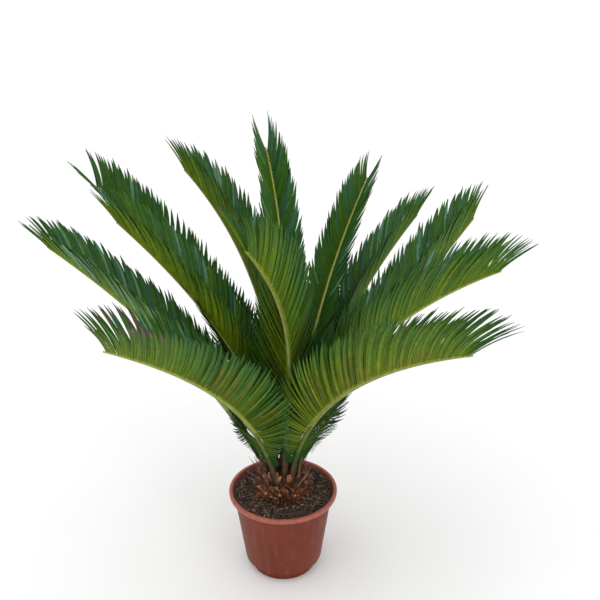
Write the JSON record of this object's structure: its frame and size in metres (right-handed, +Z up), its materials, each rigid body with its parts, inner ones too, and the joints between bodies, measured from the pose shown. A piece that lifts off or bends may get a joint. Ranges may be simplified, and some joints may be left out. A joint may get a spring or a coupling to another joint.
{
  "type": "potted sago palm",
  "caption": "Sago palm in a round plastic nursery pot: a crown of stiff arching feather fronds on a short scaly caudex that stands in potting soil.",
  "frame": {"origin": "middle of the pot's flat underside", "axes": "+Z up along the pot's axis; -Y is the side that faces the viewer in the picture"},
  "size_m": [0.9462, 0.8991, 1.0069],
  "materials": {
    "pot": "satin terracotta-brown plastic",
    "soil": "loose dark bark and peat mix",
    "caudex": "rough scaly brown bark with dry leaf bases",
    "frond": "glossy green leaflets on a yellow-green rib"
  },
  "bodies": {
    "root": {"pot": "pot", "soil": "soil", "caudex": "caudex", "frond_01": "frond", "frond_02": "frond", "frond_03": "frond", "frond_04": "frond", "frond_05": "frond", "frond_06": "frond", "frond_07": "frond", "frond_08": "frond", "frond_09": "frond", "frond_10": "frond", "frond_11": "frond", "frond_12": "frond", "frond_13": "frond"}
  },
  "joints": []
}
